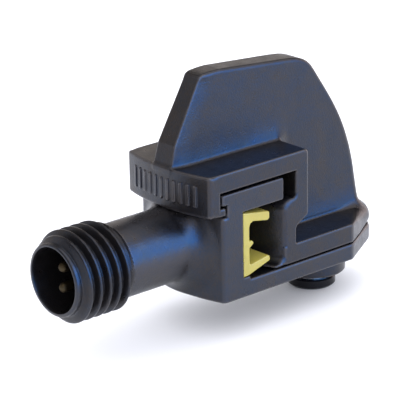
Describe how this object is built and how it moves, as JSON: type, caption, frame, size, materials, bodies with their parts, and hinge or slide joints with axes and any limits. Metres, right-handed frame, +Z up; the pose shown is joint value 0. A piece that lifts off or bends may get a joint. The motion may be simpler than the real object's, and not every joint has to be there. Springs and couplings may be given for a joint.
{
  "type": "cable tap connector",
  "caption": "Insulation-piercing tap connector for flat garden cable: turning clamp lever with grip fin, side cable cradle and threaded outlet tube.",
  "frame": {"origin": "middle of the length, on the plane of the underside of the pivot screw head, on the plane of symmetry", "axes": "+X from the outlet mouth to the rear nose, +Y to the far side (across the body), +Z up through the grip fin, along the pivot axis"},
  "size_m": [0.0886, 0.0266, 0.0567],
  "materials": {
    "black_moulding": "satin, fine moulded grain",
    "black_lever": "satin, fine moulded grain",
    "yellow_moulding": "semi-matt moulded plastic",
    "brass": "turned and tinned",
    "insulator": "matt moulded plastic",
    "seal_rubber": "matt rubber",
    "bright_steel": "bright steel",
    "black_screw": "glossy black coating",
    "acetal": "smooth acetal"
  },
  "bodies": {
    "housing": {"housing": "black_moulding", "cable_cradle": "yellow_moulding", "needle_upper": "brass", "needle_lower": "brass", "plug_pin_upper": "brass", "plug_pin_lower": "brass", "pin_carrier": "insulator", "carrier_seal": "seal_rubber", "retaining_ring": "bright_steel", "sealing_plug": "seal_rubber", "needle_seal_upper": "seal_rubber", "needle_seal_lower": "seal_rubber", "pivot_bush": "acetal", "thrust_washer": "bright_steel"},
    "clamp": {"clamp_lever": "black_lever", "pivot_screw": "black_screw", "threaded_insert": "brass", "spring_washer": "bright_steel", "flange_seal": "seal_rubber"}
  },
  "joints": [
    {"name": "clamp_turn", "type": "hinge", "parent": "housing", "child": "clamp", "pos_m": [0.02923, 0, 0.0089], "axis": [0, 0, 1], "range_deg": [0, 90]}
  ]
}
